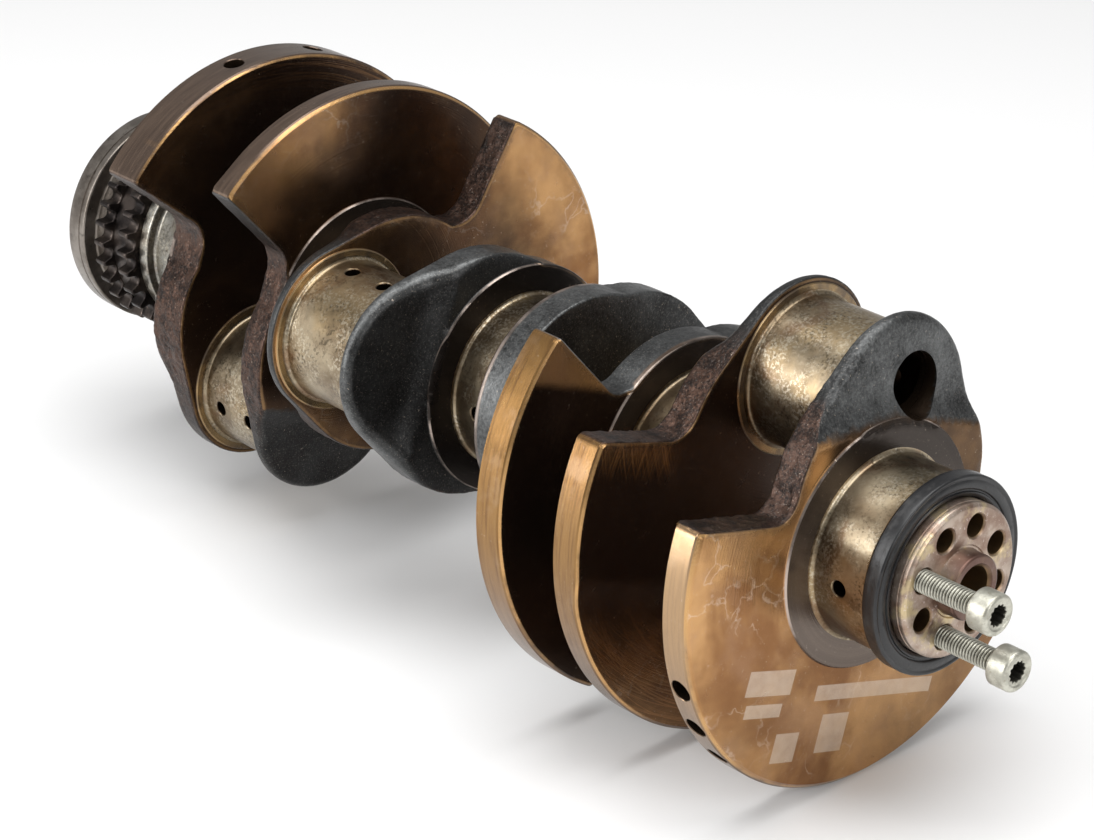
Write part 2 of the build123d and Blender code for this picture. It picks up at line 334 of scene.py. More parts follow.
def half_plane(u, v, edge):
    """Signed distance past a counterweight's edge, above zero outside it."""
    (fu, fv), (eu, ev) = edge
    length = math.hypot(eu - fu, ev - fv)
    nu, nv = (ev - fv) / length, -(eu - fu) / length
    inside = (INSIDE_COUNTERWEIGHT[0] - fu) * nu + (INSIDE_COUNTERWEIGHT[1] - fv) * nv
    sign = -1.0 if inside > 0 else 1.0
    return sign * ((u - fu) * nu + (v - fv) * nv)


def round_union(a, b, r):
    return np.maximum(r, np.minimum(a, b)) - np.hypot(np.maximum(r - a, 0), np.maximum(r - b, 0))


def round_overlap(a, b, r):
    return np.minimum(-r, np.maximum(a, b)) + np.hypot(np.maximum(r + a, 0), np.maximum(r + b, 0))


def web_distance(u, v, edges):
    """Signed distance to a web's outline."""
    u = np.asarray(u, float)
    v = np.asarray(v, float)
    arm = np.minimum(uneven_capsule(u, v), np.hypot(u, v) - COLLAR_RADIUS)
    if edges is None:
        return arm
    rim = np.hypot(u, v) - RIM_RADIUS
    weight = round_overlap(rim, half_plane(u, v, edges[0]), TIP_FILLET)
    weight = round_overlap(weight, half_plane(u, v, edges[1]), TIP_FILLET)
    return round_union(arm, weight, WAIST_FILLET)


def web_outline(edges, step):
    """Even points round a web's outline and the outward direction at each."""
    centre = np.array([-3.0, 8.0])
    turns = full_turn(4000)
    ray = np.stack([np.cos(turns), np.sin(turns)], 1)
    near = np.zeros(len(turns))
    far = np.full(len(turns), 140.0)
    for _ in range(40):
        middle = (near + far) / 2
        points = centre + ray * middle[:, None]
        inside = web_distance(points[:, 0], points[:, 1], edges) < 0
        near = np.where(inside, middle, near)
        far = np.where(inside, far, middle)
    points = centre + ray * near[:, None]
    closed = np.vstack([points, points[:1]])
    lengths = np.concatenate([[0], np.cumsum(np.hypot(*np.diff(closed, axis=0).T))])
    count = int(lengths[-1] / step)
    at = np.linspace(0, lengths[-1], count, endpoint=False)
    points = np.stack([np.interp(at, lengths, closed[:, i]) for i in (0, 1)], 1)
    h = 0.05
    u, v = points.T
    out = np.stack([web_distance(u + h, v, edges) - web_distance(u - h, v, edges),
                    web_distance(u, v + h, edges) - web_distance(u, v - h, edges)], 1)
    return points, out / np.linalg.norm(out, axis=1)[:, None]


def collar_side(u, v, skew=0.0):
    """Depth of a web's surface below the face of its main journal's collar."""
    r = np.hypot(u, v)
    step = COLLAR_HEIGHT * smooth(r, COLLAR_RADIUS - 0.35, COLLAR_RADIUS + 0.25)
    height = u + skew * np.maximum(-v - 8.0, 0)
    lobe = COLLAR_HEIGHT * smooth(height, 41.5, 42.8) + np.interp(height, BEVEL_HEIGHTS, BEVEL_DEPTHS)
    return np.maximum(step, lobe)


def ring_side(u, v, relieved):
    """Depth of a web's surface below the face of its crankpin's ring."""
    r = np.hypot(u - THROW, v)
    step = RING_HEIGHT * smooth(r, RING_RADIUS - 0.3, RING_RADIUS + 0.2)
    if not relieved:
        return step
    relief = smooth(-u, -RELIEF_HEIGHT - 8.0, -RELIEF_HEIGHT + 12.0)
    return np.maximum(step, RELIEF_DEPTH * relief)


class Web:
    """One web's shape, in its own frame."""

    def __init__(self, n):
        self.n = n
        self.edges = EDGES[n]
        self.front, rear = span(f"web_{n}")
        self.width = self.front - rear
        self.angle = PIN_ANGLE[WEB_PIN[n]]
        self.pin_behind = n % 2 == 1
        self.relieved = n in (2, 7)
        self.lobe_edge = 5.2 if self.edges is None else 3.0
        self.rim_chamfer = RIM_CHAMFER[n]

    def collar_depth(self, u, v):
        return collar_side(u, v, LOBE_SKEW if self.n == 1 else 0.0)

    def ring_depth(self, u, v):
        return ring_side(u, v, self.relieved)

    def front_depth(self, u, v):
        return self.collar_depth(u, v) if self.pin_behind else self.ring_depth(u, v)

    def rear_depth(self, u, v):
        return self.ring_depth(u, v) if self.pin_behind else self.collar_depth(u, v)

    def at_rim(self, u, v):
        """1 on the counterweight's rim."""
        r = np.hypot(u, v)
        return 0 * r if self.edges is None else smooth(r, RIM_RADIUS - 2.0, RIM_RADIUS - 1.0)

    def rounding(self, u, v, collar_face):
        """Size of the edge between a face and the side wall."""
        forging = 0.4 * (1 - smooth(np.hypot(u, v), 76, 87)) + (self.rim_chamfer - 0.7) * self.at_rim(u, v)
        if not collar_face:
            return 0.6 + forging
        room = self.width - self.collar_depth(u, v) - self.ring_depth(u, v) - 1.8
        lobe = np.minimum(self.lobe_edge, room)
        return 0.7 + (lobe - 0.7) * smooth(u, 28, 52) + forging

    def place(self, d, u, v):
        """Points in the row frame, from the web's own frame."""
        d, u, v = np.broadcast_arrays(d, u, v)
        out = np.zeros((len(d), 3))
        out[:, 0] = self.front - d
        out += u[:, None] * across(self.angle) + v[:, None] * across(self.angle + 90)
        return out

    def local(self, points):
        u = points @ across(self.angle)
        v = points @ across(self.angle + 90)
        return self.front - points[:, 0], u, v

    def step_rings(self, points, collar_face):
        """Add rings of points where a face's height steps, and return the links along them."""
        links = []
        turns = full_turn(STEP_POINTS)
        for centre, radius in STEP_CIRCLES:
            u = centre + radius * np.cos(turns)
            v = radius * np.sin(turns)
            keep = web_distance(u, v, self.edges) < -(self.rounding(u, v, collar_face) + 0.3)
            place = {}
            for i in np.nonzero(keep)[0]:
                place[i] = len(points)
                points.append((u[i], v[i]))
            following = {i: (i + 1) % STEP_POINTS for i in place}
            links += [(place[i], place[j]) for i, j in following.items() if j in place]
        return links

    def grid(self, collar_face, seed):
        """Uneven points over a face, clear of its edge and of the steps."""
        rng = np.random.default_rng(self.n * 10 + seed)
        rows = np.arange(-GRID_REACH, GRID_REACH, GRID * 0.866)
        u, v = np.meshgrid(np.arange(-GRID_REACH, GRID_REACH, GRID), rows)
        u = u + (np.arange(len(rows)) % 2)[:, None] * GRID / 2
        u = u.ravel() + rng.uniform(-0.2, 0.2, u.size) * GRID
        v = v.ravel() + rng.uniform(-0.2, 0.2, v.size) * GRID
        keep = web_distance(u, v, self.edges) < -(self.rounding(u, v, collar_face) + 1.2)
        for centre, radius in STEP_CIRCLES:
            keep &= np.abs(np.hypot(u - centre, v) - radius) > 0.7
        return list(zip(u[keep], v[keep]))

    def face(self, shape, boundary, front):
        """Fill the front or the rear face inside its edge ring."""
        collar_face = front == self.pin_behind
        points = [tuple(p) for p in boundary]
        count = len(points)
        links = [(i, (i + 1) % count) for i in range(count)] + self.step_rings(points, collar_face)
        points += self.grid(collar_face, 1 if front else 2)
        made = delaunay_2d_cdt([Vector(p) for p in points], links, [], 1, 1e-5)
        u, v = np.array([tuple(p) for p in made[0]]).T
        depth = self.front_depth(u, v) if front else self.width - self.rear_depth(u, v)
        ids = shape.add(self.place(depth, u, v))
        shape.faces += [tuple(ids[i] for i in corners) for corners in made[2]]

    def build(self):
        points, out = web_outline(self.edges, WALL_STEP)
        u, v = points.T
        shape = Shape()
        front_edge = self.rounding(u, v, self.pin_behind)
        rear_edge = self.rounding(u, v, not self.pin_behind)
        front_ring = points - out * front_edge[:, None]
        rear_ring = points - out * rear_edge[:, None]
        front_at = self.front_depth(*front_ring.T)
        rear_at = self.width - self.rear_depth(*rear_ring.T)
        quarter = np.radians(np.linspace(0, 90, 7))
        flat = self.at_rim(u, v)

        def bend(t):
            """How much of its inset an edge has left and of its depth it has come, round or chamfered."""
            part = t / (math.pi / 2)
            return ((1 - math.sin(t)) * (1 - flat) + (1 - part) * flat,
                    (1 - math.cos(t)) * (1 - flat) + part * flat)

        rings = [(front_edge * bend(t)[0], front_at + front_edge * bend(t)[1]) for t in quarter]
        top = front_at + front_edge
        bottom = rear_at - rear_edge
        steps = int(self.width / WALL_STEP)
        rings += [(0 * top, top + (bottom - top) * k / steps) for k in range(1, steps)]
        rings += [(rear_edge * bend(t)[0], rear_at - rear_edge * bend(t)[1]) for t in quarter[::-1]]
        ids = []
        for inset, depth in rings:
            ring = points - out * inset[:, None]
            ids.append(shape.add(self.place(depth, ring[:, 0], ring[:, 1])))
        for a, b in zip(ids, ids[1:]):
            shape.strip(a, b)
        self.face(shape, front_ring, True)
        self.face(shape, rear_ring, False)
        return shape.object(f"web_{self.n}_body")

    def surface(self, piece):
        """As-forged relief on the unmachined surfaces, and masks for the finish, with painted highlights in
        the tone mask and painted shade in the lacquer mask.
        """
        points = coordinates(piece)
        d, u, v = self.local(points)
        r = np.hypot(u, v)
        pin_r = np.hypot(u - THROW, v)
        inside = -web_distance(u, v, self.edges)
        wall = 1 - smooth(inside, 0.2, 1.5)
        rim = 0 * r if self.edges is None else smooth(r, RIM_RADIUS - 1.3, RIM_RADIUS - 0.6)
        collar_depth = d if self.pin_behind else self.width - d
        below, beyond = self.collar_depth(u, v), self.ring_depth(u, v)
        on_collar_side = 1 - smooth((collar_depth - below) / (self.width - below - beyond), 0.5, 0.7)
        collar_face = 1 - smooth(collar_depth, 1.6, 2.4)
        ring_face = 1 - smooth(self.width - collar_depth, 1.0, 1.6)
        in_collar = (1 - smooth(r, COLLAR_RADIUS - 0.2, COLLAR_RADIUS + 0.2)) * collar_face * (below < 1.2)
        in_ring = (1 - smooth(pin_r, RING_RADIUS - 0.2, RING_RADIUS + 0.2)) * ring_face
        lobe_face = 1.0 if self.edges is None else smooth(below, 1.2, 2.2) * on_collar_side
        forged = np.maximum(wall, lobe_face) * (1 - rim) * (1 - in_collar) * (1 - in_ring)
        arm = smooth(u, -34, -4) * (1 - smooth(u, 40, 62)) * wall
        strength = arm * ARM_RELIEF[self.n]
        lumpy = sum(size * lumps(points, width, self.n + seed)
                    for width, size, seed in ((4.2, 0.30, 0), (1.9, 0.26, 3), (0.95, 0.12, 7)))
        raised = (lumpy * (0.20 + 0.85 * strength) - 0.10 - 0.15 * strength) * forged
        move_points(piece, points + vectors(piece, "normal") * raised[:, None])
        height = points[:, 2]
        upper = smooth(u, -5, 36) if self.n == 1 else 0.0
        tone = SCALE_TONE[self.n] * (1 - arm * 0.9)
        # Painted highlights: the side walls of webs 3, 4 and 5 are lighter higher up, and those of webs 4
        # and 5 are lighter away from the collar face.
        if self.n in (3, 4, 5):
            tone = tone + 0.35 * wall * smooth(height, 10, 50)
        if self.edges is None:
            tone = tone + 0.7 * smooth(collar_depth / self.width, 0.05, 0.2) * wall
        same = np.ones(len(r))
        masks = {
            "forged": forged,
            "rim": rim,
            "main_distance": r,
            "pin_distance": pin_r,
            "inside": inside,
            "collar_face": collar_face * (1 - smooth(below, 1.1, 1.8)),
            "collar_half": on_collar_side,
            "collar_tone": COLLAR_TONE[self.n] * (1 - 0.8 * upper) * same,
            "ring_face": ring_face,
            "lacquer_and_shade": self.lacquer_and_shade(points, u, v, r),
            # The rim's colour is made darker towards the bottom.
            "rim_gold": RIM_GOLD[self.n] * (1 - 0.85 * smooth(-height, -10, 70)),
            "rim_pale": (self.n == 1) * same,
            "relief": ARM_RELIEF[self.n] * same,
            "marked": self.marked(u, v, r),
            "hole": hole_mask(points) * (collar_depth > below + 0.4),
            "tone": np.clip(tone, 0, 1),
        }
        for name, values in masks.items():
            mask(piece, name, values)

    def marked(self, u, v, r):
        """Where fine grinding marks show on the faces."""
        if self.n == 2:
            return np.maximum(smooth(u, 0, 10) * smooth(-v, 46, 56), 0.6 * smooth(-u, 36, 66))
        return 0.35 * smooth(r, 70, 84) if self.n == 8 else np.zeros(len(r))

    def lacquer_and_shade(self, points, u, v, r):
        """How much of the golden lacquer is left on the machined faces, burnt dark at 0; its fall towards
        the shaft axis and on the inner webs is in part painted shade between the webs.
        """
        low, high = GOLD_AND_SHADE[self.n]
        if self.n == 1:
            value = high - 0.28 * (1 - smooth(-v, 20, 60) * smooth(u, -70, -25)) - 0.2 * smooth(v, 10, 60)
            above = smooth(u, 6, 26) * (1 - smooth(-v, 33, 41))
            return value * (1 - above) + low * above
        # Painted shadow: on the third web the lacquer stops at a straight line, with near black below it.
        if self.n == 3:
            return low + (high - low) * (1 - smooth(v, -25, -19))
        if self.n == 2:
            top_edge = smooth(u, 2, 12) * smooth(-v, 46, 60)
            return low + (high - low) * np.maximum(smooth(-u, 28, 76), 0.7 * top_edge)
        # Painted shade: on the last two webs the lacquer darkens towards +Y and towards the axis.
        if self.n in (7, 8):
            side = 1 - smooth(points[:, 1], -45, 15)
            return low + (high - low) * side * smooth(r, 48, 84)
        # Painted shade in part: the lacquer darkens towards the shaft axis.
        return low + (high - low) * smooth(r, 44, 80)


# ---- finishes ----

LACQUER_GOLD = (0.58, 0.325, 0.135)
LACQUER_BROWN = (0.26, 0.118, 0.042)
LACQUER_PINK = (0.38, 0.215, 0.120)
# Burnt lacquer, which also paints the shade between the webs.
LACQUER_BURNT_AND_SHADE = (0.035, 0.020, 0.013)
CRACK_PALE = (0.80, 0.64, 0.50)
LABEL_PALE = (0.66, 0.55, 0.44)
HATCH_GOLD = (0.50, 0.26, 0.11)
# Colour of the painted highlights along the webs' edges.
EDGE_HIGHLIGHT_GOLD = (0.62, 0.36, 0.145)
SPECK_PALE = (0.62, 0.52, 0.42)
RIM_YELLOW = (0.30, 0.165, 0.058)
RIM_OCHRE = (0.18, 0.092, 0.036)
RIM_TAN = (0.37, 0.240, 0.135)
RIM_PALE = (0.72, 0.52, 0.33)
RIM_BROWN = (0.21, 0.150, 0.115)
RIM_DARK = (0.12, 0.086, 0.068)
ARM_DARK = (0.018, 0.012, 0.010)
ARM_BROWN = (0.080, 0.045, 0.032)
SCALE_DARK = (0.018, 0.018, 0.018)
SCALE_GREY = (0.17, 0.175, 0.175)
SCALE_SPARKLE = (0.30, 0.275, 0.25)
COLLAR_DARK = (0.022, 0.018, 0.016)
COLLAR_BROWN = (0.15, 0.118, 0.098)
COLLAR_LIGHT = (0.19, 0.150, 0.122)
# Colour of the painted highlight at the collars' edges.
COLLAR_EDGE_HIGHLIGHT = (0.56, 0.46, 0.40)
RING_BROWN = (0.15, 0.112, 0.078)
RING_GOLD = (0.36, 0.245, 0.120)
# Colour of the painted shade on the walls of the drillings.
HOLE_SHADE = (0.065, 0.043, 0.028)
SPOT_DARK = (0.075, 0.058, 0.038)
GRAIN_PALE = (0.66, 0.60, 0.48)
STAIN_BROWN = (0.18, 0.095, 0.048)
NOSE_DULL = (0.27, 0.18, 0.135)
NOSE_BRIGHT = (0.50, 0.41, 0.34)
NOSE_BRASS = (0.62, 0.50, 0.29)
NOSE_SPECK = (0.72, 0.62, 0.58)
NOSE_HOLE = (0.22, 0.140, 0.070)
BOSS_RED = (0.12, 0.064, 0.052)
RUBBER_BLACK = (0.009, 0.009, 0.010)
RUBBER_DUST = (0.11, 0.105, 0.10)
ZINC_DULL = (0.41, 0.40, 0.34)
ZINC_BRIGHT = (0.59, 0.58, 0.50)
ZINC_STAIN = (0.30, 0.27, 0.20)
# Colour of the painted shade in the bolts' sockets and thread valleys.
VALLEY_SHADE = (0.045, 0.042, 0.035)

# Centre, size and slant of each blank label, in the first web's own frame.
LABELS = ((-48.4, -35.6, 9.0, 22.6, 0.03), (-58.3, -35.9, 4.8, 18.0, 0.03),
          (-53.0, 18.8, 5.6, 61.0, 0.045), (-68.0, 1.4, 14.0, 13.6, 0.05),
          (-72.0, -20.6, 10.6, 11.6, 0.04))
LABEL_BLUR = 0.15


class Finish:
    """A procedural material in the making; its colours, numbers and masks are node sockets."""

    def __init__(self, name, metallic):
        self.material = bpy.data.materials.new(name)
        self.material.use_nodes = True
        self.nodes = self.material.node_tree.nodes
        self.links = self.material.node_tree.links
        self.shader = self.nodes["Principled BSDF"]
        self.shader.inputs["Metallic"].default_value = metallic
        self.place = self.nodes.new("ShaderNodeTexCoord").outputs["Object"]

    def feed(self, socket, value):
        """Give a socket a colour, a number or another node's output."""
        if isinstance(value, tuple):
            socket.default_value = (*value, 1)
        elif isinstance(value, (int, float)):
            socket.default_value = value
        else:
            self.links.new(value, socket)

    def vector(self, kind, value, fixed=(0, 0, 0)):
        node = self.nodes.new("ShaderNodeVectorMath")
        node.operation = kind
        self.links.new(value, node.inputs[0])
        node.inputs[1].default_value = fixed
        return node

    def stretched(self, scale):
        """Object coordinates, scaled separately along X, Y and Z."""
        return self.vector("MULTIPLY", self.place, scale).outputs[0]

    def spread(self, value, scale):
        """A number as a vector, for noise that varies with it alone."""
        out = self.nodes.new("ShaderNodeVectorMath")
        out.operation = "SCALE"
        out.inputs[0].default_value = (1, 1, 1)
        self.links.new(self.times(value, scale), out.inputs["Scale"])
        return out.outputs[0]

    def axis_distance(self, scale):
        """Distance from the shaft axis as a vector, for turned faces."""
        return self.spread(self.vector("LENGTH", self.stretched((0, 1, 1))).outputs["Value"], scale)

    def noise(self, size, detail=4, vector=None, contrast=None, distortion=0.0):
        """Noise from 0 to 1, with features of about that size in metres."""
        node = self.nodes.new("ShaderNodeTexNoise")
        self.links.new(vector or self.place, node.inputs["Vector"])
        node.inputs["Scale"].default_value = 1 / size
        node.inputs["Detail"].default_value = detail
        node.inputs["Roughness"].default_value = 0.6
        node.inputs["Distortion"].default_value = distortion
        return self.window(node.outputs[0], *contrast) if contrast else node.outputs[0]

    def cracks(self, size, width):
        """1 along the thin edges of uneven cells of about that size."""
        warp = self.nodes.new("ShaderNodeVectorMath")
        warp.operation = "MULTIPLY_ADD"
        drift = self.nodes.new("ShaderNodeTexNoise")
        self.links.new(self.place, drift.inputs["Vector"])
        drift.inputs["Scale"].default_value = 1.6 / size
        drift.inputs["Detail"].default_value = 4
        self.links.new(drift.outputs["Color"], warp.inputs[0])
        warp.inputs[1].default_value = (size * 1.2,) * 3
        self.links.new(self.place, warp.inputs[2])
        cells = self.nodes.new("ShaderNodeTexVoronoi")
        cells.feature = "DISTANCE_TO_EDGE"
        cells.inputs["Scale"].default_value = 1 / size
        self.links.new(warp.outputs[0], cells.inputs["Vector"])
        return self.inverse(self.window(cells.outputs[0], 0.0, width))

    def window(self, value, low, high):
        """0 below low, 1 above high."""
        node = self.nodes.new("ShaderNodeMapRange")
        node.interpolation_type = "SMOOTHSTEP"
        self.links.new(value, node.inputs["Value"])
        node.inputs["From Min"].default_value = low
        node.inputs["From Max"].default_value = high
        return node.outputs[0]

    def band(self, value, low, rise, fall, high):
        """1 from rise to fall, and 0 below low and above high."""
        return self.times(self.window(value, low, rise), self.inverse(self.window(value, fall, high)))

    def math(self, kind, a, b):
        node = self.nodes.new("ShaderNodeMath")
        node.operation = kind
        self.feed(node.inputs[0], a)
        self.feed(node.inputs[1], b)
        return node.outputs[0]

    def times(self, product, *others):
        for other in others:
            product = self.math("MULTIPLY", product, other)
        return product

    def plus(self, a, b):
        return self.math("ADD", a, b)

    def inverse(self, value):
        """1 where a value is 0, and 0 where it is 1."""
        return self.math("SUBTRACT", 1.0, value)

    def mask(self, name):
        node = self.nodes.new("ShaderNodeAttribute")
        node.attribute_name = name
        return node.outputs["Fac"]

    def mix(self, amount, a, b):
        """Colour a where amount is 0, and b where it is 1."""
        node = self.nodes.new("ShaderNodeMix")
        node.data_type = "RGBA"
        for socket, value in ((0, amount), (6, a), (7, b)):
            self.feed(node.inputs[socket], value)
        return node.outputs[2]

    def between(self, amount, a, b):
        """Number a where amount is 0, and b where it is 1."""
        node = self.nodes.new("ShaderNodeMix")
        for socket, value in ((0, amount), (2, a), (3, b)):
            self.feed(node.inputs[socket], value)
        return node.outputs[0]

    def patches(self, colour, tint, amount, size, detail, low, high):
        """A colour with patches of a tint, of about that size in metres."""
        return self.mix(self.times(self.noise(size, detail, contrast=(low, high)), amount), colour, tint)

    def done(self, colour, roughness, height, depth):
        """The finished material; depth is how many metres of bump a height of 1 stands for."""
        self.links.new(colour, self.shader.inputs["Base Color"])
        self.links.new(roughness, self.shader.inputs["Roughness"])
        bump = self.nodes.new("ShaderNodeBump")
        bump.inputs["Strength"].default_value = 1.0
        bump.inputs["Distance"].default_value = depth
        self.links.new(height, bump.inputs["Height"])
        self.links.new(bump.outputs[0], self.shader.inputs["Normal"])
        return self.material


def blank_labels(f):
    """Pale blank rectangles on the first web's front face, where the shaft has its labels."""
    along = across(LEAN)
    side = across(LEAN + 90)
    total = 0.0
    for centre_u, centre_v, size_u, size_v, slant in LABELS:
        patch = 1.0
        for axis, centre, size in ((along - slant * side, centre_u, size_u),
                                   (side + slant * along, centre_v, size_v)):
            place = f.vector("DOT_PRODUCT", f.place, tuple(axis / MM)).outputs["Value"]
            away = f.math("ABSOLUTE", f.math("SUBTRACT", place, centre), 0.0)
            within = f.inverse(f.window(away, size / 2 - LABEL_BLUR, size / 2 + LABEL_BLUR))
            patch = f.times(within, patch)
        total = f.math("MAXIMUM", patch, total)
    return total


def machined_colour(f, labelled):
    """Lacquer on the machined faces, burnt dark where little of it is left, and darkened as painted shade
    where the lacquer mask paints it.
    """
    tone = f.noise(0.050, 4, contrast=(0.36, 0.62), distortion=0.3)
    colour = f.mix(tone, LACQUER_BROWN, LACQUER_GOLD)
    colour = f.patches(colour, LACQUER_PINK, 0.45, 0.024, 5, 0.46, 0.66)
    cracks = f.times(f.cracks(0.021, 0.03), f.noise(0.03, 3, contrast=(0.44, 0.62)), 0.38)
    colour = f.mix(cracks, colour, CRACK_PALE)
    uneven = f.times(f.math("SUBTRACT", f.noise(0.016, 6), 0.5), 0.45)
    colour = f.mix(f.window(f.plus(f.mask("lacquer_and_shade"), uneven), 0.02, 0.95), LACQUER_BURNT_AND_SHADE, colour)
    if labelled:
        wear = f.between(f.noise(0.004, 5), 0.30, 0.75)
        colour = f.mix(f.times(blank_labels(f), wear, f.mask("collar_half")), colour, LABEL_PALE)
    return colour


def rim_colour(f):
    streaks = f.noise(1.0, 5, f.stretched((900.0, 45.0, 45.0)))
    bare = f.mix(f.window(streaks, 0.3, 0.75), RIM_DARK, RIM_BROWN)
    yellow = f.mix(f.window(streaks, 0.25, 0.6), RIM_OCHRE, RIM_YELLOW)
    yellow = f.patches(yellow, RIM_TAN, 0.5, 0.014, 5, 0.5, 0.68)
    yellow = f.mix(f.times(f.mask("rim_pale"), 0.35), yellow, RIM_PALE)
    return f.mix(f.mask("rim_gold"), bare, yellow)


def forged_colour(f):
    """Brown mottled arms and grey scale on the lobes, with a fine sparkle, and the painted highlights that
    the tone mask carries on the side walls of webs 3, 4 and 5.
    """
    tone = f.mask("tone")
    mottle = f.plus(f.times(f.noise(0.0010, 4), 0.55), f.times(f.noise(0.007, 4), 0.45))
    arms = f.mix(f.window(mottle, 0.40, 0.60), ARM_DARK, ARM_BROWN)
    cloud = f.plus(f.times(f.noise(0.022, 4), 0.62), f.times(f.noise(0.0012, 4), 0.38))
    lobes = f.mix(f.times(tone, f.window(cloud, 0.30, 0.70)), SCALE_DARK, SCALE_GREY)
    colour = f.mix(f.window(tone, 0.02, 0.3), arms, lobes)
    return f.patches(colour, SCALE_SPARKLE, 0.22, 0.0006, 2, 0.58, 0.68)


def turned_lands(f, colour):
    """The faces of the collar and the ring, and the broken bright line at the collar's edge, which is a
    painted highlight.
    """
    main = f.mask("main_distance")
    collar_face = f.mask("collar_face")
    grooves = f.noise(1.0, 3, f.axis_distance(420.0), (0.3, 0.7))
    collar = f.mix(f.mask("collar_tone"), COLLAR_DARK, f.mix(grooves, COLLAR_LIGHT, COLLAR_BROWN))
    inside = f.inverse(f.window(main, COLLAR_RADIUS - 0.1, COLLAR_RADIUS + 0.2))
    colour = f.mix(f.times(inside, collar_face), colour, collar)
    ring = f.mix(f.noise(0.016, 5, contrast=(0.36, 0.58)), RING_BROWN, RING_GOLD)
    inside = f.inverse(f.window(f.mask("pin_distance"), RING_RADIUS - 0.1, RING_RADIUS + 0.2))
    colour = f.mix(f.times(inside, f.mask("ring_face")), colour, ring)
    near_edge = [COLLAR_RADIUS + s for s in (-0.45, -0.25, -0.05, 0.2)]
    line = f.times(f.band(main, *near_edge), collar_face, f.noise(0.03, 5, contrast=(0.36, 0.56)), 0.8)
    return f.mix(line, colour, COLLAR_EDGE_HIGHLIGHT)


def grinding_marks(f, colour):
    """An arc about the crankpin on the ring side, and hatching about both centres."""
    main = f.mask("main_distance")
    pin = f.mask("pin_distance")
    arc_line = f.times(f.band(pin, 116.2, 116.6, 116.9, 117.3), f.inverse(f.mask("collar_half")))
    colour = f.mix(f.times(arc_line, f.mask("marked"), 0.25), colour, LACQUER_GOLD)
    hatch = f.math("MAXIMUM", f.window(f.noise(1.0, 2, f.spread(pin, 1.1)), 0.52, 0.60),
                   f.window(f.noise(1.0, 2, f.spread(main, 0.9)), 0.53, 0.60))
    unfaced = f.math("MAXIMUM", f.mask("rim"), f.mask("forged"))
    return f.mix(f.times(hatch, f.mask("marked"), f.inverse(unfaced), 0.45), colour, HATCH_GOLD)


def painted_edge_highlights(f, colour):
    """Painted highlights: bright broken lines where the faces meet the side wall, most of all at the rim.
    """
    edge = f.times(f.band(f.mask("inside"), 0.35, 0.6, 1.1, 1.7), f.noise(0.030, 5, contrast=(0.34, 0.58)))
    machined = f.inverse(f.window(f.mask("forged"), 0.8, 1.0))
    at_rim = f.window(f.mask("main_distance"), RIM_RADIUS - 4.5, RIM_RADIUS - 2.0)
    return f.mix(f.times(edge, machined, f.plus(f.times(at_rim, 0.57), 0.26)), colour, EDGE_HIGHLIGHT_GOLD)


def web_finish(name, labelled=False):
    f = Finish(name, 0.85)
    forged = f.mask("forged")
    colour = f.mix(f.mask("rim"), machined_colour(f, labelled), rim_colour(f))
    colour = f.mix(forged, colour, forged_colour(f))
    for layer in (turned_lands, grinding_marks, painted_edge_highlights):
        colour = layer(f, colour)
    colour = f.patches(colour, SPECK_PALE, 0.4, 0.0009, 2, 0.68, 0.74)
    # Painted shade: the walls of the drillings are darkened.
    colour = f.mix(f.mask("hole"), colour, HOLE_SHADE)

    roughness = f.between(forged, f.between(f.noise(0.006, 4), 0.17, 0.32),
                          f.between(f.noise(0.0016, 3), 0.26, 0.50))
    about_pin, about_main = [f.noise(1.0, 2, f.spread(f.mask(centre), 1.3))
                             for centre in ("pin_distance", "main_distance")]
    arcs = f.between(f.mask("collar_half"), about_pin, about_main)
    grain = f.noise(0.0008, 4)
    machined_height = f.plus(f.times(arcs, 0.30), f.times(grain, 0.08))
    forged_height = f.plus(grain, f.times(f.noise(0.0022, 5), 1.5))
    forged_height = f.times(forged_height, f.between(f.mask("relief"), 0.22, 1.0))
    return f.done(colour, roughness, f.between(forged, machined_height, forged_height), 0.00015)


def journal_finish(name, dark, light, tint):
    f = Finish(name, 1.0)
    colour = f.mix(f.noise(0.022, 7, contrast=(0.34, 0.64), distortion=0.5), dark, light)
    colour = f.patches(colour, tint, 0.7, 0.031, 4, 0.48, 0.64)
    spots = f.times(f.noise(0.0013, 6, contrast=(0.47, 0.66)), f.noise(0.012, 4, contrast=(0.35, 0.65)))
    colour = f.mix(f.times(spots, 0.85), colour, SPOT_DARK)
    grains = f.times(f.noise(0.0011, 4, contrast=(0.48, 0.60)), f.noise(0.015, 5, contrast=(0.42, 0.58)))
    colour = f.mix(f.times(grains, 0.45), colour, GRAIN_PALE)
    stains = f.noise(0.026, 5, contrast=(0.52, 0.66), distortion=0.8)
    colour = f.mix(f.times(stains, 0.6), colour, STAIN_BROWN)
    # Painted shade: the walls of the drillings are darkened.
    colour = f.mix(f.mask("hole"), colour, HOLE_SHADE)
    rings = f.noise(1.0, 3, f.stretched((5200.0, 90.0, 90.0)))
    height = f.plus(f.times(rings, 0.35), f.times(f.noise(0.0016, 4), 0.6))
    return f.done(colour, f.between(f.noise(0.004, 5), 0.20, 0.44), height, 0.00008)


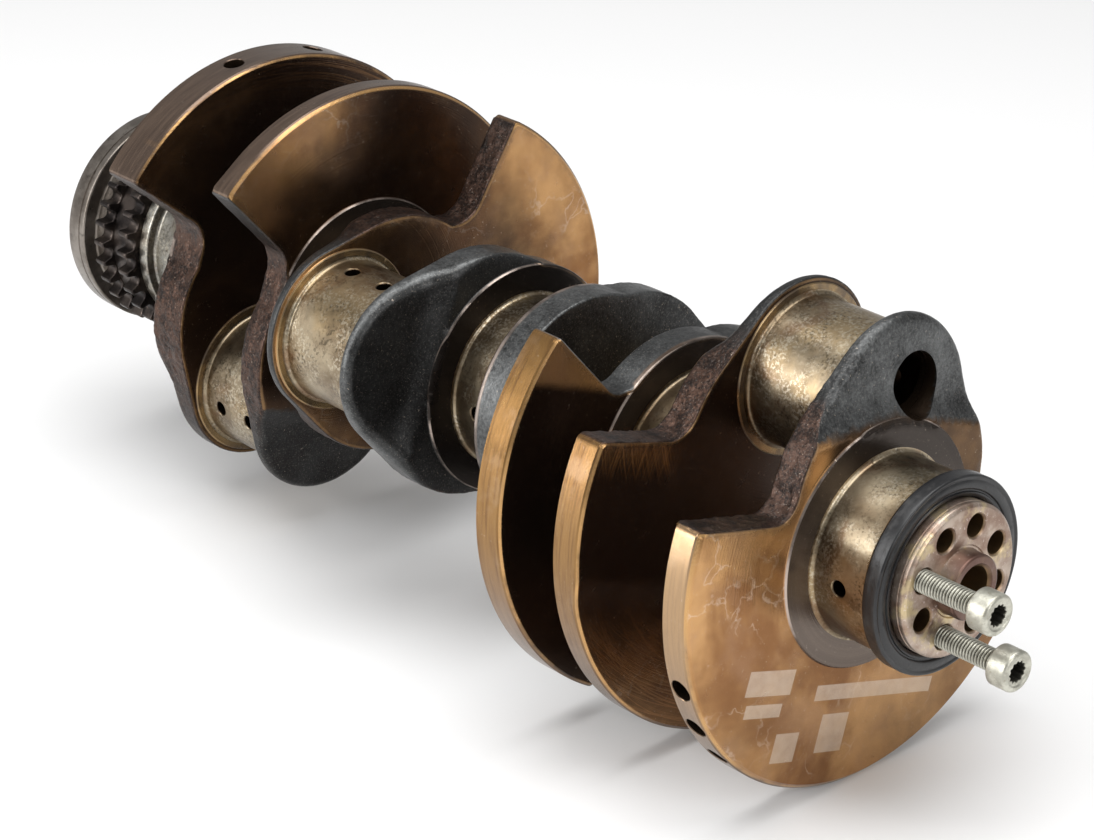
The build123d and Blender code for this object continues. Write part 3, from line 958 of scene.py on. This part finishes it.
def nose_finish():
    f = Finish("nose", 0.9)
    colour = f.mix(f.noise(0.012, 6, contrast=(0.40, 0.64)), NOSE_DULL, NOSE_BRIGHT)
    colour = f.patches(colour, NOSE_BRASS, 0.8, 0.009, 4, 0.52, 0.66)
    colour = f.patches(colour, NOSE_SPECK, 0.6, 0.0013, 3, 0.6, 0.72)
    colour = f.mix(f.times(f.mask("boss"), 0.85), colour, BOSS_RED)
    colour = f.mix(f.mask("hole"), colour, NOSE_HOLE)
    height = f.plus(f.noise(0.0012, 4), f.noise(1.0, 2, f.axis_distance(2600.0)))
    return f.done(colour, f.between(f.noise(0.003, 4), 0.26, 0.48), height, 0.00005)


def metal_finish(name, low, high, spot, rough):
    f = Finish(name, 0.9)
    colour = f.mix(f.noise(0.010, 6, contrast=(0.40, 0.62)), low, high)
    colour = f.patches(colour, spot, 1.0, 0.003, 4, 0.58, 0.72)
    rings = f.noise(1.0, 3, f.stretched((4200.0, 120.0, 120.0)))
    height = f.plus(f.times(rings, 0.5), f.noise(0.0015, 4))
    return f.done(colour, f.between(f.noise(0.004, 4), rough - 0.09, rough + 0.12), height, 0.00006)


def rubber_finish():
    f = Finish("rubber", 0.0)
    dust = f.noise(0.0035, 6, contrast=(0.48, 0.74))
    colour = f.mix(f.times(dust, 0.16), RUBBER_BLACK, RUBBER_DUST)
    return f.done(colour, f.between(dust, 0.30, 0.55), f.noise(0.0009, 4), 0.00006)


def bolt_finish():
    f = Finish("zinc", 0.85)
    colour = f.mix(f.noise(0.004, 5, contrast=(0.40, 0.64)), ZINC_DULL, ZINC_BRIGHT)
    colour = f.patches(colour, ZINC_STAIN, 0.5, 0.0014, 4, 0.56, 0.68)
    # Painted shade in the socket and between the thread's ridges.
    colour = f.mix(f.times(f.mask("valley"), 0.88), colour, VALLEY_SHADE)
    return f.done(colour, f.between(f.noise(0.0012, 4), 0.30, 0.50), f.noise(0.0006, 3), 0.00004)


LACQUERED = web_finish("lacquered")
LABELLED = web_finish("lacquered_labelled", True)
FORGED = web_finish("forged")
JOURNAL = journal_finish("journal", (0.17, 0.125, 0.078), (0.37, 0.305, 0.21), (0.38, 0.28, 0.155))
REAR_JOURNAL = journal_finish("rear_journal", (0.17, 0.165, 0.15), (0.32, 0.31, 0.28), (0.24, 0.20, 0.15))
NOSE = nose_finish()
FLANGE = metal_finish("flange", (0.15, 0.128, 0.108), (0.25, 0.222, 0.195), (0.11, 0.095, 0.08), 0.30)
SPROCKET = metal_finish("sprocket", (0.022, 0.018, 0.017), (0.075, 0.060, 0.052), (0.13, 0.10, 0.085), 0.34)
CASE = metal_finish("case", (0.30, 0.30, 0.31), (0.42, 0.42, 0.43), (0.24, 0.22, 0.20), 0.36)
SPRING = metal_finish("spring", (0.45, 0.45, 0.46), (0.6, 0.6, 0.61), (0.35, 0.33, 0.30), 0.3)
RUBBER = rubber_finish()
ZINC = bolt_finish()


# ---- the pieces ----

REARWARD = (-1, 0, 0)
FORWARD = (1, 0, 0)

HOLE_RADIUS = 2.8
HOLE_DEPTH = 14.0
MAIN_HOLE_ANGLE = -111.0
PIN_HOLE_ANGLE = 64.0
PIN_HOLE_OFFSET = 9.0
BORE_PLACE = (54.2, 3.0)
BORE_RADIUS = 11.2
BORE_BOTTOM = 6.0
BALANCE_RADIUS = 4.0
BALANCE_DEPTH = 16.0
BALANCE_HOLES = {1: (-127.5, -139.2, -150.9), 8: (150.9, 176.1)}

HUB_FACE = 203.7
HUB_RADIUS = 27.0
BOSS_RADIUS = 11.5
NOSE_BORE_RADIUS = 7.5
NOSE_BORE_DEPTH = 60.0
DAMPER_CIRCLE = 19.2
DAMPER_RADIUS = 4.08
DAMPER_DEPTH = 37.0

SEAL_INNER = HUB_RADIUS + 0.05
SEAL_OUTER = 35.0
VENT_MARKS = 8
COIL_TURNS = 150
COIL_RADIUS = 0.55
COIL_WIRE = 0.18

SOCKET_TIP = 3.9
SOCKET_VALLEY = 3.2
SOCKET_DEPTH = 5.0
HEAD_RADIUS = 7.2
HEAD_LENGTH = 8.0
THREAD_RADIUS = 4.0
THREAD_ROOT = 3.32
THREAD_PITCH = 1.25

TEETH = 32
CHAIN_PITCH = 8.0
PITCH_RADIUS = CHAIN_PITCH / 2 / math.sin(math.pi / TEETH)
ROLLER_SEAT = 2.55
TOOTH_EDGE = 0.9
DRUM_RADIUS = 37.5
REAR_COLLAR_RADIUS = 36.5
FLANGE_RADIUS = 43.7
FLANGE_NECK = 6.0
FLANGE_CIRCLE = 31.0
FLANGE_HOLE_RADIUS = 5.05
FLANGE_HOLE_DEPTH = 25.0
PILOT_RADIUS = 17.5
PILOT_DEPTH = 14.0


def shaft_point(x, angle=0.0, offset=0.0):
    return np.array([x, 0, 0]) + offset * across(angle)


def radial_drilling(x, angle, offset, hole_angle, surface, radius, depth, flare=0.5):
    start = shaft_point(x, angle, offset) + surface * across(hole_angle)
    return drilling(start, -across(hole_angle), radius, depth, flare)


def damper_cutters(start, depth, flare):
    return [drilling(shaft_point(start, LEAN + 45 * i, DAMPER_CIRCLE), REARWARD,
                     DAMPER_RADIUS, depth, flare) for i in range(8)]


def lightening_cutter(depth):
    """Cutter for the hole in the first crankpin, to a depth behind the first web's front."""
    front, _ = span("web_1")
    u, v = BORE_PLACE
    origin = shaft_point(front, LEAN, u) + v * across(LEAN + 90)
    DRILLED.append((origin, np.array(REARWARD, float), BORE_RADIUS, depth, -0.5))
    wall = [(d, BORE_RADIUS) for d in np.append(np.arange(-1.0, depth - 1, 1.3), depth)]
    return lathe("cutter", origin, REARWARD, [(-1, 0)] + wall + [(depth + 1.5, 0)], 72)


def build_web(n):
    web = Web(n)
    piece = web.build()
    cutters = [lightening_cutter(web.width + 5)] if n == 1 else []
    for turn in BALANCE_HOLES.get(n, ()):
        cutters.append(radial_drilling(web.front - web.width / 2, 0, 0, web.angle + turn,
                                       RIM_RADIUS, BALANCE_RADIUS, BALANCE_DEPTH, 0.35))
    if cutters:
        cut(piece, cutters)
    web.surface(piece)
    plain = web.edges is None
    finish_piece(piece, LABELLED if n == 1 else FORGED if plain else LACQUERED,
                 "crankshaft", [f"web_{n}"], 32)


def journal(name, centre_angle, offset, radius):
    front, rear = span(name)
    length = front - rear
    f = JOURNAL_FILLET
    nose = [(0, 0), (0, radius + f)] + arc((f, radius + f), f, 180, 270, 9)
    tail = [(length - d, r) for d, r in reversed(nose)]
    middle = [(d, radius) for d in np.linspace(nose[-1][0], tail[0][0], 8)[1:-1]]
    return lathe(name + "_ground", shaft_point(front, centre_angle, offset), REARWARD,
                 nose + middle + tail, 224)


def build_main_journal(n):
    name = f"main_journal_{n}"
    piece = journal(name, 0, 0, MAIN_RADIUS)
    front, rear = span(name)
    cutters = [radial_drilling((front + rear) / 2, 0, 0, LEAN + MAIN_HOLE_ANGLE + turn,
                               MAIN_RADIUS, HOLE_RADIUS, HOLE_DEPTH) for turn in (0, 180)]
    if n == 1:
        cutters += damper_cutters(front, DAMPER_DEPTH - (HUB_FACE - front), 0.0)
    cut(piece, cutters)
    finish_piece(piece, REAR_JOURNAL if n == 5 else JOURNAL, "crankshaft", [name])


def build_crankpin(n):
    name = f"crankpin_{n}"
    angle = PIN_ANGLE[n]
    piece = journal(name, angle, THROW, PIN_RADIUS)
    front, rear = span(name)
    cutters = [radial_drilling((front + rear) / 2 + side * PIN_HOLE_OFFSET, angle, THROW,
                               angle + PIN_HOLE_ANGLE, PIN_RADIUS, HOLE_RADIUS, HOLE_DEPTH)
               for side in (-1, 1)]
    if n == 1:
        web_front, _ = span("web_1")
        cutters.append(lightening_cutter(web_front - rear - BORE_BOTTOM))
    cut(piece, cutters)
    finish_piece(piece, JOURNAL, "crankshaft", [name])


def build_nose():
    start, rear = span("nose_hub")
    boss = start - HUB_FACE
    profile = [(0, 0), (0, BOSS_RADIUS - 1.0)] + arc((0.9, BOSS_RADIUS - 0.9), 0.9, 180, 90, 5)
    profile += [(boss + d, BOSS_RADIUS + r) for d, r in ((-0.2, 0), (0.35, 0.25), (0.45, 0.9), (0, 1.3))]
    profile += [(boss, 15.0), (boss, 22.0)]
    profile += [(boss + d, HUB_RADIUS - r) for d, r in (
        (0, 1.4), (0.15, 1.0), (1.0, 0.1), (1.3, 0), (2.6, 0), (2.75, 0.25), (3.1, 0.25), (3.25, 0))]
    profile += [(start - rear, HUB_RADIUS), (start - rear, 0)]
    piece = lathe("nose_hub_turned", shaft_point(start), REARWARD, profile, 256)
    cutters = damper_cutters(HUB_FACE, DAMPER_DEPTH, 0.7)
    cutters.append(drilling(shaft_point(start), REARWARD, NOSE_BORE_RADIUS, NOSE_BORE_DEPTH, 1.2))
    cut(piece, cutters)
    points = coordinates(piece)
    on_boss = np.hypot(points[:, 1], points[:, 2]) < BOSS_RADIUS + 0.3
    mask(piece, "boss", on_boss & (points[:, 0] > HUB_FACE + 0.5))
    finish_piece(piece, NOSE, "crankshaft", ["nose_hub"])


def build_seal_moulding():
    front, rear = span("seal_rubber")
    width = front - rear
    face = [(d, SEAL_INNER + r) for d, r in (
        (0.45, 0.9), (0.15, 1.4), (0.1, 2.0), (0.7, 2.3), (0.75, 2.7), (0.2, 3.0), (0.05, 3.6))]
    face += [(d, SEAL_OUTER - r) for d, r in ((0.05, 2.2), (0.35, 1.9), (0.35, 1.5), (0.1, 1.2))]
    face += arc((0.9, SEAL_OUTER - 0.9), 0.9, 160, 90, 5)
    wall = [(2.5, SEAL_OUTER - 0.05), (4.0, SEAL_OUTER - 0.05)]
    wall += arc((width - 0.5, SEAL_OUTER - 0.5), 0.5, 90, 0, 4)
    wall += [(width, SEAL_OUTER - 1.0), (1.0, SEAL_OUTER - 1.0)]
    lip = [(d, SEAL_INNER + r) for d, r in (
        (1.0, 2.9), (2.0, 2.9), (2.0, 1.5), (3.0, 1.3), (4.0, 0.8), (4.8, 0.8),
        (5.1, 0.5), (4.4, 0.0), (2.4, 0.4), (0.9, 0.3))]
    piece = lathe("seal_rubber_moulding", shaft_point(front), REARWARD,
                  face + wall + lip + face[:1], 256)
    finish_piece(piece, RUBBER, "front_seal", ["seal_rubber"], 50)


def build_vent_marks():
    front, _ = span("seal_rubber")
    marks = Shape()
    for i in range(VENT_MARKS):
        turn = LEAN + 12 + 360 * i / VENT_MARKS
        side, along = across(turn), 1.6 * across(turn + 90)
        marks.tube([marks.add([shaft_point(front - 0.1 + height, turn, SEAL_OUTER - 3.4)
                               + radius * (math.cos(t) * side + math.sin(t) * along)
                               for t in full_turn(16)])
                    for height, radius in ((-0.3, 0.9), (0.0, 0.85), (0.08, 0.5))])
    finish_piece(marks.object("seal_vent_marks"), RUBBER, "front_seal", [])


def build_garter_spring():
    """A wire wound round a ring; a is the angle about the shaft, and b is the angle about the ring."""
    front, rear = span("seal_garter_spring")
    ring = radius_of("seal_garter_spring") - 0.75
    steps = COIL_TURNS * 12
    spring = Shape()
    rings = []
    for i in range(steps):
        a = 360 * i / steps
        b = 2 * math.pi * COIL_TURNS * i / steps
        outward = math.cos(b) * across(a) + math.sin(b) * shaft_point(1.0)
        centre = shaft_point((front + rear) / 2, a, ring) + COIL_RADIUS * outward
        rings.append(spring.add([centre + COIL_WIRE * (math.cos(t) * outward + math.sin(t) * across(a + 90))
                                 for t in full_turn(6)]))
    spring.tube(rings, closed=True)
    finish_piece(spring.object("garter_spring_coil"), SPRING, "front_seal",
                 ["seal_garter_spring"], 60)


def finish_case():
    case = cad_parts["seal_steel_case"]
    case.data.materials.clear()
    case.data.materials.append(CASE)


def socket_radius(turn, larger=0.0):
    """Edge of the twelve-point socket at an angle in degrees."""
    t = abs(((turn / 30.0) % 1.0) - 0.5) * 2
    return SOCKET_VALLEY + (SOCKET_TIP - SOCKET_VALLEY) * t + larger


def bolt_distance(piece, spin):
    """Each point of a bolt's piece as its place along X and its distance from the bolt's axis."""
    points = coordinates(piece) - shaft_point(0, spin, DAMPER_CIRCLE)
    return points[:, 0], np.hypot(points[:, 1], points[:, 2])


def build_bolt_head(n, spin):
    top, _ = span(f"damper_bolt_{n}")
    turns = np.arange(240) * 1.5
    shape = Shape()

    def ring(depth, radius):
        """A ring at a depth below the head's top; radius is a number or a function of the angle."""
        return shape.add([shaft_point(top - depth, spin, DAMPER_CIRCLE)
                          + (radius(t) if callable(radius) else radius) * across(t) for t in turns])

    sections = [(SOCKET_DEPTH, 0.02), (SOCKET_DEPTH, socket_radius), (0.9, socket_radius),
                (0.45, lambda t: socket_radius(t, 0.25)), (0.45, 4.6), (0.3, 4.9), (0, 5.3), (0, 5.9)]
    sections += arc((1.3, HEAD_RADIUS - 1.3), 1.3, 170, 90, 6)
    sections += [(2.5, HEAD_RADIUS), (5.0, HEAD_RADIUS)]
    sections += arc((HEAD_LENGTH - 0.5, HEAD_RADIUS - 0.5), 0.5, 90, 0, 5)
    sections += [(HEAD_LENGTH, 5.0), (HEAD_LENGTH, 4.1)]
    shape.tube([ring(depth, radius) for depth, radius in sections])
    piece = shape.object(f"bolt_{n}_head")
    x, distance = bolt_distance(piece, spin)
    # The socket's walls get painted shade.
    mask(piece, "valley", (distance < SOCKET_TIP + 0.1) & (x < top - 0.8))
    finish_piece(piece, ZINC, f"bolt_{n}", [f"damper_bolt_{n}"], 30)


def build_bolt_thread(n, spin):
    top, bottom = span(f"damper_bolt_{n}")
    under = top - HEAD_LENGTH
    length = under - bottom
    sides = 40
    step = THREAD_PITCH / 8
    thread = Shape()
    rings = []
    for k in range(int(length / step) + 1):
        d = min(k * step, length)
        tip = THREAD_ROOT + 0.03 + max(0.0, length - d) * 0.9
        points = []
        for i in range(sides):
            phase = (d / THREAD_PITCH + i / sides) % 1.0
            ridge = 1 - smooth(abs(phase - 0.5) * 2, 0.10, 0.92)
            radius = THREAD_ROOT + (THREAD_RADIUS - THREAD_ROOT) * float(ridge)
            points.append(shaft_point(under - d, spin, DAMPER_CIRCLE)
                          + min(radius, tip) * across(360 * i / sides))
        rings.append(thread.add(points))
    thread.tube(rings)
    piece = thread.object(f"bolt_{n}_thread")
    # The thread's valleys get painted shade.
    mask(piece, "valley", 1 - smooth(bolt_distance(piece, spin)[1], 3.4, 3.8))
    finish_piece(piece, ZINC, f"bolt_{n}", [], 50)


def sprocket_distance(u, v):
    """Signed distance to the toothed outline, one tooth space along +u."""
    blank = np.hypot(u, v) - (PITCH_RADIUS + 2.1)
    seat = np.hypot(u - PITCH_RADIUS, v) - ROLLER_SEAT
    slope = ROLLER_SEAT * 0.45 / 3.1
    wedge = np.maximum(np.abs(v) - ROLLER_SEAT - slope * (u - PITCH_RADIUS), PITCH_RADIUS - u)
    return round_overlap(blank, -np.minimum(seat, wedge), 0.5)


def build_sprocket(name):
    front, rear = span(name)
    per_tooth = 18
    half = math.pi / TEETH
    turns = np.linspace(-half, half, per_tooth, endpoint=False)
    near, far = np.full(per_tooth, 20.0), np.full(per_tooth, 60.0)
    for _ in range(30):
        middle = (near + far) / 2
        inside = sprocket_distance(middle * np.cos(turns), middle * np.sin(turns)) < 0
        near, far = np.where(inside, middle, near), np.where(inside, far, middle)
    outline = np.tile(near, TEETH)
    angles = np.degrees(np.concatenate([turns + 2 * half * i for i in range(TEETH)]))
    edge = [(TOOTH_EDGE * (1 - math.cos(t)), outline - 0.8 * TOOTH_EDGE * (1 - math.sin(t)))
            for t in np.radians(np.linspace(0, 90, 5))]
    bore = np.full(len(outline), DRUM_RADIUS - 3.0)
    stations = [(0.0, bore)] + edge
    stations += [(front - rear - d, radii) for d, radii in reversed(edge)]
    stations.append((front - rear, bore))
    shape = Shape()
    shape.tube([shape.add([shaft_point(front - d, LEAN + a, r) for a, r in zip(angles, radii)])
                for d, radii in stations])
    finish_piece(shape.object(name + "_teeth"), SPROCKET, "crankshaft", [name])


def build_rear_collar():
    front, rear = span("rear_collar")
    length = front - rear
    r = REAR_COLLAR_RADIUS
    profile = [(0, 0), (0, r - 0.9)] + arc((0.9, r - 0.9), 0.9, 180, 90, 5)
    profile += [(length - 0.8, r), (length, r - 0.8), (length, 0)]
    piece = lathe("rear_collar_turned", shaft_point(front), REARWARD, profile, 224)
    finish_piece(piece, REAR_JOURNAL, "crankshaft", ["rear_collar"])


def build_spacer():
    front, rear = span("sprocket_spacer")
    length = front - rear
    wall = [(d, DRUM_RADIUS) for d in (0, *np.linspace(0.5, length - 0.5, 5), length)]
    piece = lathe("sprocket_spacer_turned", shaft_point(front), REARWARD,
                  [(0, 0)] + wall + [(length, 0)], 224)
    finish_piece(piece, SPROCKET, "crankshaft", ["sprocket_spacer"])


def build_flange():
    front, rear = span("flywheel_flange")
    length = front - rear
    neck, r = FLANGE_NECK, FLANGE_RADIUS
    groove = neck + 0.32 * (length - neck)
    profile = [(0, 0), (0, DRUM_RADIUS), (neck - 1.0, DRUM_RADIUS)]
    profile += arc((neck - 1.0, DRUM_RADIUS + 1.0), 1.0, 270, 360, 4)[1:]
    profile += [(neck, r - 0.9)] + arc((neck + 0.8, r - 0.8), 0.8, 180, 90, 5)
    profile += [(groove - 0.45, r), (groove - 0.2, r - 0.55), (groove + 0.2, r - 0.55), (groove + 0.45, r)]
    profile += arc((length - 0.8, r - 0.8), 0.8, 90, 0, 5) + [(length, 0)]
    piece = lathe("flywheel_flange_turned", shaft_point(front), REARWARD, profile, 256)
    cutters = [drilling(shaft_point(rear, LEAN + 45 * i, FLANGE_CIRCLE), FORWARD,
                        FLANGE_HOLE_RADIUS, FLANGE_HOLE_DEPTH, 0.6) for i in range(8)]
    cutters.append(drilling(shaft_point(rear), FORWARD, PILOT_RADIUS, PILOT_DEPTH, 1.0))
    cut(piece, cutters)
    finish_piece(piece, FLANGE, "crankshaft", ["flywheel_flange"])


for number in range(1, 9):
    build_web(number)
for number in range(1, 6):
    build_main_journal(number)
for number in range(1, 5):
    build_crankpin(number)
build_nose()
build_seal_moulding()
build_vent_marks()
build_garter_spring()
finish_case()
for number, turn in ((1, -90.0), (2, 180.0)):
    build_bolt_head(number, LEAN + turn)
    build_bolt_thread(number, LEAN + turn)
build_rear_collar()
build_sprocket("chain_sprocket_inner")
build_sprocket("chain_sprocket_outer")
build_spacer()
build_flange()


# ---- floor, light and camera ----

def build_floor():
    paint = bpy.data.materials.new("floor_paint")
    paint.use_nodes = True
    shader = paint.node_tree.nodes["Principled BSDF"]
    shader.inputs["Base Color"].default_value = (0.82, 0.82, 0.82, 1)
    shader.inputs["Roughness"].default_value = 0.8
    bpy.ops.mesh.primitive_plane_add(size=60, location=(0, 0, cad_box[0].z))
    floor = bpy.context.object
    floor.name = "floor"
    floor.data.materials.append(paint)


def build_world():
    world = bpy.data.worlds.new("studio")
    bpy.context.scene.world = world
    world.use_nodes = True
    background = world.node_tree.nodes["Background"]
    background.inputs["Color"].default_value = (1.0, 1.0, 1.0, 1)
    background.inputs["Strength"].default_value = 0.38
    bpy.context.scene.view_settings.view_transform = "Standard"


def area_light(name, place, target, size, power):
    data = bpy.data.lights.new(name, "AREA")
    data.shape = "RECTANGLE"
    data.size, data.size_y = size
    data.energy = power
    lamp = bpy.data.objects.new(name, data)
    bpy.context.scene.collection.objects.link(lamp)
    lamp.location = place
    lamp.rotation_euler = (Vector(target) - Vector(place)).to_track_quat("-Z", "Y").to_euler()


# Name, place, target and size in metres, and power in watts.
LIGHTS = (("top_softbox", (0.1, -0.1, 1.6), (0, 0, 0), (1.8, 1.4), 30),
          ("left_softbox", (-0.6, -1.5, 0.7), (0, 0, 0), (1.0, 1.2), 16),
          ("left_strip", (-0.75, -1.3, 0.2), (0, 0, 0), (0.14, 0.9), 3.5),
          ("front_softbox", (1.6, -0.1, 0.8), (0.1, 0, 0), (0.8, 1.0), 9))

build_floor()
build_world()
for light in LIGHTS:
    area_light(*light)

camera_data = bpy.data.cameras.new("camera")
camera = bpy.data.objects.new("camera", camera_data)
bpy.context.scene.collection.objects.link(camera)
bpy.context.scene.camera = camera
camera.location = (0.7965, -0.7061, 0.4914)
look = Vector((-0.6668, 0.6161, -0.4193))
camera.rotation_euler = look.to_track_quat("-Z", "Y").to_euler()
camera_data.sensor_width = 36.0
camera_data.lens = 104.94
camera_data.shift_x = -0.0505
camera_data.shift_y = -0.0284
camera_data.clip_start = 0.05
